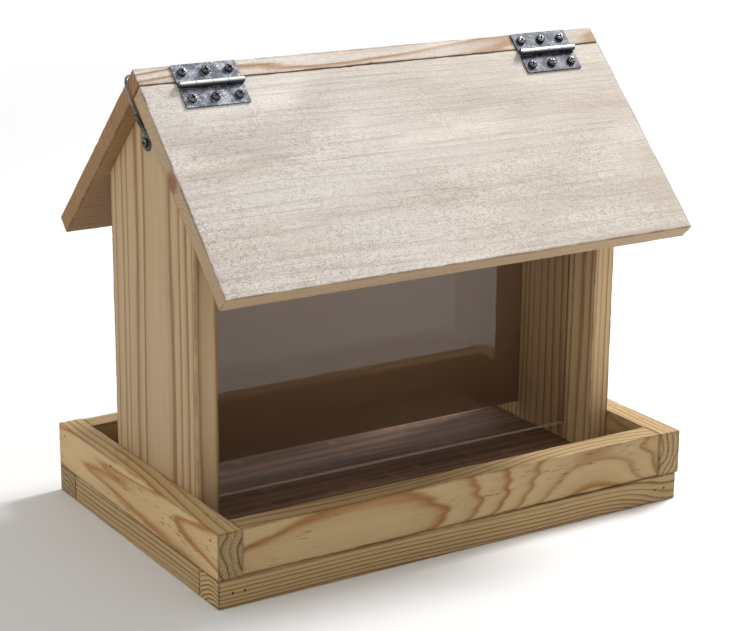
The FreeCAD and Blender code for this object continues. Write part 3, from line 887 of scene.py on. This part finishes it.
def tray_strips(kind, early, late):
    """Four strips round the tray: front and back along X, left and right along Y."""
    for side, turn in (("front", AXES_X), ("back", AXES_X), ("left", AXES_Y), ("right", AXES_Y)):
        node = f"{kind}_{side}"
        obj = node_box(node)
        wear_board(obj, node)
        sink_nails(obj, node)
        smooth(obj)
        settle(obj, node, Pine(straight(node, turn), early, late).finish())


def slope_board(node, front, raw, bleach):
    """A roof board, made flat and then laid on its slope."""
    place = slope(front)
    low, high = local_box(node, place)
    obj = add_box(node + "_visual", low, high)
    wear_board(obj, node)
    obj.data.transform(place)
    sink_nails(obj, node)
    smooth(obj)
    board = Board(node, place.to_3x3().transposed(), place @ ((low + high) / 2), tuple((high - low) / 2))
    settle(obj, node, Pine(board, *raw).finish(bleach))


GROOVE_Y = 0.031
GROOVE_WIDTH = 0.0034
GROOVE_DEPTH = 0.006
GROOVE_FOOT = 0.038


def cut_slopes(obj, node):
    """Cut a gable to the two roof slopes and close the cuts."""
    for front in (True, False):
        top = local_box(node, slope(front))[1].z
        edit_whole(obj)
        bpy.ops.mesh.bisect(plane_co=slope(front) @ (UP * top), plane_no=outward(front), use_fill=True,
                            clear_outer=True)
        leave_edit()


def cut_grooves(obj, node):
    """The two upright grooves that the panes stand in."""
    low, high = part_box(node)
    inner, out = (high.x, -1.0) if high.x < 0.0 else (low.x, 1.0)
    ends = sorted((inner - out * CUT_PAST, inner + out * GROOVE_DEPTH))
    for y in (-GROOVE_Y, GROOVE_Y):
        start = Vector((ends[0], y - GROOVE_WIDTH / 2, GROOVE_FOOT))
        end = Vector((ends[1], y + GROOVE_WIDTH / 2, high.z + 5 * CUT_PAST))
        subtract(obj, add_box("groove", start, end))


class FEEDER_OT_plinth(bpy.types.Operator):
    """Make the four strips under the tray"""
    bl_idname = "feeder.plinth"
    bl_label = "Plinth strips"

    def execute(self, context):
        wood = settings().wood
        tray_strips("plinth", wood.plinth_early, wood.plinth_late)
        return {"FINISHED"}


class FEEDER_OT_rails(bpy.types.Operator):
    """Make the four rails of the tray"""
    bl_idname = "feeder.rails"
    bl_label = "Tray rails"

    def execute(self, context):
        wood = settings().wood
        tray_strips("rail", wood.rail_early, wood.rail_late)
        return {"FINISHED"}


FLOOR_EDGE = 0.0005
PANE_EDGE = 0.00035
SAWN_HEIGHT = 0.0006
REAR_PALER = 1.08


class FEEDER_OT_tray_floor(bpy.types.Operator):
    """Make the dark tray floor"""
    bl_idname = "feeder.tray_floor"
    bl_label = "Tray floor"

    def execute(self, context):
        obj = node_box("tray_floor")
        bevel_edges(obj, FLOOR_EDGE, 2)
        smooth(obj)
        settle(obj, "tray_floor", hardboard())
        return {"FINISHED"}


class FEEDER_OT_gables(bpy.types.Operator):
    """Make the two gables with their pane grooves"""
    bl_idname = "feeder.gables"
    bl_label = "Gables"

    def execute(self, context):
        wood = settings().wood
        for node in ("gable_left", "gable_right"):
            obj = node_box(node)
            cut_slopes(obj, node)
            wear_board(obj, node, (2,))
            cut_grooves(obj, node)
            smooth(obj)
            pine = Pine(straight(node, AXES_Z), wood.gable_early, wood.gable_late)
            settle(obj, node, pine.finish())
        return {"FINISHED"}


class FEEDER_OT_panes(bpy.types.Operator):
    """Make the clear front pane and the rear pane, painted dark as painted shade"""
    bl_idname = "feeder.panes"
    bl_label = "Panes"

    def execute(self, context):
        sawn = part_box("pane_front")[0].z + SAWN_HEIGHT
        sheets = {"pane_front": clear_sheet("clear_sheet", sawn), "pane_back": painted_dark_sheet("painted_dark_sheet")}
        for node, sheet in sheets.items():
            obj = node_box(node)
            bevel_edges(obj, PANE_EDGE, 2)
            smooth(obj)
            settle(obj, node, sheet)
        return {"FINISHED"}


class FEEDER_OT_roof(bpy.types.Operator):
    """Make the fixed rear board and the lid board"""
    bl_idname = "feeder.roof"
    bl_label = "Roof boards"

    def execute(self, context):
        wood = settings().wood
        rear = Bleach(tinted(wood.roof_early, REAR_PALER), wood.ridge_late, weather=0.4)
        slope_board("roof_back_board", False, (wood.rear_raw_and_shade_early, wood.rear_raw_late), rear)
        lid = Bleach(wood.roof_early, wood.roof_late, weather=1.0)
        slope_board("lid_board", True, (wood.lid_raw_early, wood.lid_raw_late), lid)
        return {"FINISHED"}


# Screws

HEAD_RADIUS = 0.00325
HEAD_HEIGHT = 0.0023
HEAD_DOME = 0.55 * HEAD_HEIGHT
RECESS_REACH = 0.70 * HEAD_RADIUS
RECESS_WIDTH = 0.00105
RECESS_FLOOR = 0.15 * HEAD_HEIGHT
SHANK_RADIUS = 0.0015
SHANK_LENGTH = 0.012
SHANK_OVERLAP = 0.0002
SCREW_PITCH = 0.0183
SCREW_ROW = 0.011
FIRST_TURN = 0.7
NEXT_TURN = 1.9


def pan_screw():
    """One pan head screw pointing down, with the head's underside at the origin."""
    head = add_rod("screw head", HEAD_RADIUS, Vector(), UP * HEAD_HEIGHT, sides=32)
    bevel_edges(head, HEAD_DOME, 4, lambda first, second: min(first.z, second.z) > 0.9 * HEAD_HEIGHT)
    for x, y in ((RECESS_REACH, RECESS_WIDTH / 2), (RECESS_WIDTH / 2, RECESS_REACH)):
        recess = add_box("recess", Vector((-x, -y, RECESS_FLOOR)), Vector((x, y, 2 * HEAD_HEIGHT)))
        subtract(head, recess)
    shank = add_rod("screw shank", SHANK_RADIUS, UP * -SHANK_LENGTH, UP * SHANK_OVERLAP)
    bevel_edges(shank, 0.9 * SHANK_RADIUS, 1,
                lambda first, second: max(first.z, second.z) < -0.9 * SHANK_LENGTH)
    screw = join([head, shank], "pan screw")
    smooth(screw, METAL_SMOOTH)
    return screw


def leaf_screw_places(row, top):
    """Places of the six screws of one row of leaves, each turned its own way."""
    columns = [hinge * HINGE_REACH + step * SCREW_PITCH for hinge in (-1, 1) for step in (-1, 0, 1)]
    for number, column in enumerate(columns):
        turn = Matrix.Rotation(FIRST_TURN + NEXT_TURN * number + row, 4, "Z")
        place = Matrix.Translation((HINGE_MIDDLE + column, -HINGE_AXIS - row * SCREW_ROW, top))
        yield slope(True) @ place @ turn


def lug_screw_places():
    """Places of the two lug screws, facing out of the gables."""
    low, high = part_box("hanger_screws")
    middle = (low + high) / 2
    for end, side in ((low.x, -1.0), (high.x, 1.0)):
        out = Matrix.Rotation(side * pi / 2, 4, "Y")
        yield Matrix.Translation((end - side * HEAD_HEIGHT, middle.y, middle.z)) @ out


class FEEDER_OT_screws(bpy.types.Operator):
    """Model one pan head screw and set it in the hinge leaves and the lugs"""
    bl_idname = "feeder.screws"
    bl_label = "Screws"

    def execute(self, context):
        pattern = pan_screw()
        material = dull_metal("screw_steel", settings().hardware.screw, metallic=1.0, rough=0.14)
        places = {}
        for node, row in (("hinge_screws_roof", -1), ("hinge_screws_lid", 1)):
            top = local_box(node, slope(True))[1].z - HEAD_HEIGHT
            places[node] = leaf_screw_places(row, top)
        places["hanger_screws"] = lug_screw_places()
        for node, spots in places.items():
            screws = [copy_at(pattern, spot, "screw") for spot in spots]
            settle(join(screws, node + "_visual"), node, material)
        bpy.data.objects.remove(pattern)
        return {"FINISHED"}


# Hinges

HINGE_LENGTH = 0.050
LEAF_REACH = 0.018
LEAF_THICKNESS = 0.0012
LEAF_NOTCH = 0.0026
LEAF_CORNER = 0.0008
LEAF_EDGE = 0.00016
AXIS_LIFT = 0.0028
KNUCKLES = 4
KNUCKLE_RADIUS = 0.0025
KNUCKLE_GAP = 0.00015
KNUCKLE_EDGE = 0.00022
TONGUE_EDGE = 0.0001
TONGUE_OVERLAP = 0.0005
PIN_RADIUS = 0.0012
PIN_HEAD_RADIUS = 0.0019
PIN_HEAD_HEIGHT = 0.0007
PIN_DOME = 0.00055


def hinge_place(side):
    """Placement of a hinge: its axis along X, the fixed leaf towards +Y."""
    return slope(True) @ Matrix.Translation((HINGE_MIDDLE + side * HINGE_REACH, -HINGE_AXIS, AXIS_LIFT))


def plate(name, half, ends, reach):
    """A flat piece of a leaf from one distance of the axis to another."""
    near, far = sorted((half * reach[0], half * reach[1]))
    low = Vector((ends[0], near, -AXIS_LIFT))
    high = Vector((ends[1], far, LEAF_THICKNESS - AXIS_LIFT))
    return add_box(name, low, high)


def knuckle(number, half):
    """One rolled knuckle with the tongue that joins it to its plate."""
    pitch = HINGE_LENGTH / KNUCKLES
    start = number * pitch - HINGE_LENGTH / 2 + KNUCKLE_GAP / 2
    end = start + pitch - KNUCKLE_GAP
    ends = Vector((start, 0.0, 0.0)), Vector((end, 0.0, 0.0))
    barrel = add_rod("barrel", KNUCKLE_RADIUS, *ends, sides=40)
    bevel_edges(barrel, KNUCKLE_EDGE, 3, lambda first, second: abs(first.x - second.x) < MATCH)
    tongue = plate("tongue", half, (start, end), (0.0, LEAF_NOTCH + TONGUE_OVERLAP))
    bevel_edges(tongue, TONGUE_EDGE, 1)
    return [barrel, tongue]


def hinge_leaf(half):
    """A leaf with its outer corners and edges a little rounded, and its two rolled knuckles."""
    leaf = plate("leaf", half, (-HINGE_LENGTH / 2, HINGE_LENGTH / 2), (LEAF_NOTCH, LEAF_REACH))
    outer = half * LEAF_REACH
    bevel_edges(leaf, LEAF_CORNER, 3, lambda first, second: abs(first.z - second.z) > MATCH
                and abs(first.y - outer) < MATCH)
    bevel_edges(leaf, LEAF_EDGE, 2, lambda first, second: abs(first.z - second.z) < MATCH)
    pieces = [leaf]
    for number in range(0 if half > 0 else 1, KNUCKLES, 2):
        pieces += knuckle(number, half)
    return pieces


def hinge_pin():
    """The pin with a domed head at each end."""
    half = Vector((HINGE_LENGTH / 2 - KNUCKLE_GAP / 2, 0.0, 0.0))
    pieces = [add_rod("shaft", PIN_RADIUS, -half, half)]
    rim = half.x + PIN_HEAD_HEIGHT - MATCH
    for facing in (-1, 1):
        top = half * facing + Vector((facing * PIN_HEAD_HEIGHT, 0.0, 0.0))
        head = add_rod("head", PIN_HEAD_RADIUS, half * facing, top)
        bevel_edges(head, PIN_DOME, 3, lambda first, second: min(abs(first.x), abs(second.x)) > rim)
        pieces.append(head)
    return pieces


class FEEDER_OT_hinges(bpy.types.Operator):
    """Make the two butt hinges: leaves with rolled knuckles and a headed pin"""
    bl_idname = "feeder.hinges"
    bl_label = "Hinges"

    def execute(self, context):
        hardware = settings().hardware
        # Each hinge gets its own zinc, painted lighter on the left and darker on the right
        for name, side, tone in (("left", -1, hardware.left_hinge_light), ("right", 1, hardware.right_hinge_shade)):
            plating = zinc(f"{name} hinge zinc", tone)
            made = (("roof_leaf", hinge_leaf(1), METAL_SMOOTH), ("lid_leaf", hinge_leaf(-1), METAL_SMOOTH),
                    ("pin", hinge_pin(), SMOOTH))
            for piece, solids, angle in made:
                node = f"hinge_{name}_{piece}"
                obj = join(solids, node + "_visual")
                smooth(obj, angle)
                obj.data.transform(hinge_place(side))
                settle(obj, node, plating)
        return {"FINISHED"}


# Lugs and nails

LUG_EDGE = 0.0002


class FEEDER_OT_lugs(bpy.types.Operator):
    """Make the two ring lugs with rounded edges"""
    bl_idname = "feeder.lugs"
    bl_label = "Lugs"

    def execute(self, context):
        lug = dull_metal("lug_steel", settings().hardware.lug)
        for node in ("hanger_lug_left", "hanger_lug_right"):
            settle(softened(node, LUG_EDGE), node, lug)
        return {"FINISHED"}


class FEEDER_OT_nails(bpy.types.Operator):
    """Give the nails their dull steel"""
    bl_idname = "feeder.nails"
    bl_label = "Nails"

    def execute(self, context):
        nail = dull_metal("nail_steel", settings().hardware.nail)
        for name, node in frame["nodes"].items():
            if name.endswith("_nails"):
                clad(node, nail)
        return {"FINISHED"}


# Wire hanger

WIRE_DIAMETER = 0.0018
WIRE_SIDES = 6
WIRE_STEPS = 60
LUG_BEND = (0.1815, 0.0015, 0.300)
LUG_REACH = 0.017
ROOF_CLEAR = 0.0018
UNDER_EDGE = 0.3257
OVER_EDGE = 0.010
# Past the roof's end and above its slope, where the wire goes round the edge and where it lies on the roof
ROUND_EDGE = (0.0027, 0.0015)
ON_ROOF = (-0.0060, 0.0016)
DROOP_HALF = 0.188
DROOP_DEPTH = 0.126
DROOP_LEAN = 0.05
DROOP_ANGLES = (12, 26, 42, 58, 74)
DROOP_LIFT = 0.0012


def droop_point(side, degrees):
    """A point of the loop that hangs down the rear slope, raised where it leaves the edge."""
    angle = radians(degrees)
    lift = 2 * DROOP_LIFT if degrees == DROOP_ANGLES[0] else DROOP_LIFT
    x = HINGE_MIDDLE + side * DROOP_HALF * cos(angle)
    down = DROOP_DEPTH * sin(angle) * (1.0 - side * DROOP_LEAN * cos(angle))
    return slope(False) @ Vector((x, down, lift))


def half_route(side):
    """The wire's route from one lug to the middle of the loop."""
    low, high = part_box("roof_back_board")
    end = high.x if side > 0 else low.x
    bend = Vector((side * LUG_BEND[0], LUG_BEND[1], LUG_BEND[2]))
    under = Vector((end + side * ROOF_CLEAR, LUG_BEND[1], UNDER_EDGE))
    start = bend + (under - bend).normalized() * LUG_REACH
    over = [slope(False) @ Vector((end + side * out, OVER_EDGE, lift))
            for out, lift in (ROUND_EDGE, ON_ROOF)]
    return [start, under] + over + [droop_point(side, degrees) for degrees in DROOP_ANGLES]


def wire_line():
    """Points along the wire, read from a NURBS spline through its route."""
    points = half_route(-1) + [droop_point(1, 90)] + half_route(1)[::-1]
    curve = bpy.data.curves.new("wire route", "CURVE")
    curve.dimensions = "3D"
    spline = curve.splines.new("NURBS")
    spline.points.add(len(points) - 1)
    for control, point in zip(spline.points, points):
        control.co = (*point, 1.0)
    spline.order_u = 3
    spline.use_endpoint_u = True
    spline.resolution_u = WIRE_STEPS
    holder = bpy.data.objects.new("wire route", curve)
    bpy.context.scene.collection.objects.link(holder)
    mesh = bpy.data.meshes.new_from_object(holder)
    line = [vertex.co.copy() for vertex in mesh.vertices]
    bpy.data.objects.remove(holder)
    bpy.data.meshes.remove(mesh)
    return line


def round_point(centre, side, up, angle, radius):
    """A point of a circle in the plane of two axes."""
    return centre + (side * cos(angle) + up * sin(angle)) * radius


def strand_rings(line, turn, radius, strand_radius, lay):
    """Rings of points of one strand that winds about the line."""
    tangent = (line[1] - line[0]).normalized()
    side = tangent.orthogonal().normalized()
    corners = [2 * pi * corner / WIRE_SIDES for corner in range(WIRE_SIDES)]
    travelled = 0.0
    rings = []
    for index, point in enumerate(line):
        ahead = line[min(index + 1, len(line) - 1)]
        behind = line[max(index - 1, 0)]
        travelled += (point - behind).length
        new_tangent = (ahead - behind).normalized()
        side = tangent.rotation_difference(new_tangent) @ side
        tangent = new_tangent
        up = tangent.cross(side)
        centre = round_point(point, side, up, turn + 2 * pi * travelled / lay, radius)
        rings.append([round_point(centre, side, up, corner, strand_radius) for corner in corners])
    return rings


def twisted_wire(line, strands, lay):
    """A mesh of strands twisted about a line, closed at both ends."""
    strand_radius = WIRE_DIAMETER / 2 / (1.0 + 1.0 / sin(pi / strands))
    radius = WIRE_DIAMETER / 2 - strand_radius
    points = []
    faces = []
    for strand in range(strands):
        first = len(points)
        for ring in strand_rings(line, 2 * pi * strand / strands, radius, strand_radius, lay):
            points += ring
        last = len(points) - WIRE_SIDES
        for near in range(first, last, WIRE_SIDES):
            far = near + WIRE_SIDES
            for corner in range(WIRE_SIDES):
                ahead = (corner + 1) % WIRE_SIDES
                faces.append((near + corner, near + ahead, far + ahead, far + corner))
        faces.append(tuple(first + corner for corner in reversed(range(WIRE_SIDES))))
        faces.append(tuple(last + corner for corner in range(WIRE_SIDES)))
    mesh = bpy.data.meshes.new("hanger_cable_visual")
    mesh.from_pydata([tuple(point) for point in points], [], faces)
    return mesh


class FEEDER_OT_wire(bpy.types.Operator):
    """Lay the twisted wire hanger from lug to lug over the roof"""
    bl_idname = "feeder.wire"
    bl_label = "Wire hanger"

    def execute(self, context):
        hardware = settings().hardware
        line = wire_line()
        mesh = twisted_wire(line, hardware.strands, hardware.lay)
        obj = bpy.data.objects.new("hanger_cable_visual", mesh)
        context.scene.collection.objects.link(obj)
        pick(obj)
        bpy.ops.object.shade_smooth()
        settle(obj, "hanger_cable", dull_metal("cable_steel", hardware.wire))
        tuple(line[0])
        return {"FINISHED"}


# Camera, lights and floor

SENSOR = 36.0
AIM = Vector((0.0, 0.0, 0.15))
KEY_PLACE = Vector((1.65, 0.22, 1.97))
KEY_SIZE = 0.65
FILL_PLACE = Vector((-1.6, -0.2, 0.8))
FILL_SIZE = 1.0
WHITE = (1.0, 1.0, 1.0, 1.0)
SKY_COLOUR = (1.0, 0.98, 0.95, 1.0)
FLOOR_COLOUR = (0.90, 0.90, 0.90, 1.0)
FLOOR_SIZE = 30.0
FLOOR_FADE = (0.25, 2.2)


def camera_place(stage):
    """Placement of the camera from its turn, height angle, roll and offsets."""
    turn = Matrix.Rotation(stage.azimuth, 4, "Z") @ Matrix.Rotation(pi / 2 - stage.elevation, 4, "X")
    offset = Matrix.Translation((stage.across, stage.above, stage.distance))
    return turn @ Matrix.Rotation(stage.roll, 4, "Z") @ offset


def add_camera(stage):
    bpy.ops.object.camera_add()
    camera = bpy.context.object
    camera.data.sensor_fit = "HORIZONTAL"
    camera.data.sensor_width = SENSOR
    camera.data.lens = stage.lens
    camera.matrix_world = camera_place(stage)
    bpy.context.scene.camera = camera


def add_lamp(name, place, size, power):
    bpy.ops.object.light_add(type="AREA", location=place)
    lamp = bpy.context.object
    lamp.name = name
    lamp.data.shape = "DISK"
    lamp.data.size = size
    lamp.data.energy = power
    lamp.rotation_euler = (AIM - place).to_track_quat("-Z", "Y").to_euler()


def set_sky(stage):
    """White to the camera, to mirrors and through clear pieces, softer as a light."""
    world = bpy.data.worlds.new("studio")
    bpy.context.scene.world = world
    world.use_nodes = True
    sky = Nodes(world.node_tree)
    rays = [sky.node("ShaderNodeLightPath", output=f"Is {kind} Ray")
            for kind in ("Camera", "Glossy", "Transmission")]
    seen = sky.math("MAXIMUM", sky.math("MAXIMUM", rays[0], rays[1]), rays[2])
    light = sky.node("ShaderNodeBackground", None, {"Color": SKY_COLOUR, "Strength": stage.sky})
    white = sky.node("ShaderNodeBackground", None, {"Color": WHITE, "Strength": 1.0})
    mixed = sky.node("ShaderNodeMixShader", None, {0: seen, 1: light, 2: white})
    sky.node("ShaderNodeOutputWorld", None, {"Surface": mixed})


def floor_paint():
    """Pale matt floor that turns to plain white away from the feeder."""
    paint = Paint("studio floor")
    away = paint.vector("LENGTH", paint.position).above(*FLOOR_FADE)
    near = paint.node("ShaderNodeBsdfDiffuse", None, {"Color": FLOOR_COLOUR})
    far = paint.node("ShaderNodeEmission", None, {"Color": WHITE, "Strength": 1.0})
    return paint.shown(paint.node("ShaderNodeMixShader", None, {0: away, 1: near, 2: far}))


class FEEDER_OT_stage(bpy.types.Operator):
    """Set the camera, the lamps, the sky and the floor"""
    bl_idname = "feeder.stage"
    bl_label = "Stage"

    def execute(self, context):
        stage = settings().stage
        bpy.ops.object.select_all(action="DESELECT")
        context.scene.view_settings.view_transform = "Standard"
        add_camera(stage)
        add_lamp("key lamp", KEY_PLACE, KEY_SIZE, stage.key)
        add_lamp("fill lamp", FILL_PLACE, FILL_SIZE, stage.fill)
        set_sky(stage)
        bpy.ops.mesh.primitive_plane_add(size=FLOOR_SIZE)
        floor = named("studio_floor")
        clad(floor, floor_paint())
        return {"FINISHED"}


class FEEDER_PT_panel(bpy.types.Panel):
    """Settings and steps of the feeder"""
    bl_label = "Bird feeder"
    bl_idname = "FEEDER_PT_panel"
    bl_space_type = "VIEW_3D"
    bl_region_type = "UI"
    bl_category = "Feeder"

    def draw(self, context):
        feeder = context.scene.feeder
        for group in (feeder.wood, feeder.boards, feeder.hardware, feeder.stage):
            box = self.layout.box()
            for name in group.__annotations__:
                box.prop(group, name)
        for step in STEPS:
            self.layout.operator(step.bl_idname)


STEPS = (FEEDER_OT_stage, FEEDER_OT_lugs, FEEDER_OT_wire, FEEDER_OT_plinth, FEEDER_OT_rails,
         FEEDER_OT_tray_floor, FEEDER_OT_gables, FEEDER_OT_panes, FEEDER_OT_roof, FEEDER_OT_hinges,
         FEEDER_OT_screws, FEEDER_OT_nails)
GROUPS = (WoodSettings, BoardSettings, HardwareSettings, StageSettings, FeederSettings)
CLASSES = GROUPS + STEPS + (FEEDER_PT_panel,)


def register():
    for made in CLASSES:
        bpy.utils.register_class(made)
    bpy.types.Scene.feeder = PointerProperty(type=FeederSettings, name="Feeder",
                                             description="Feeder settings")


def unregister():
    del bpy.types.Scene.feeder
    for made in reversed(CLASSES):
        bpy.utils.unregister_class(made)


def main():
    register()
    bpy.ops.feeder.stage()
    bpy.ops.feeder.lugs()
    bpy.ops.feeder.wire()
    bpy.ops.feeder.plinth()
    bpy.ops.feeder.rails()
    bpy.ops.feeder.tray_floor()
    bpy.ops.feeder.gables()
    bpy.ops.feeder.panes()
    bpy.ops.feeder.roof()
    bpy.ops.feeder.hinges()
    bpy.ops.feeder.screws()
    bpy.ops.feeder.nails()


if __name__ == "__main__":
    main()
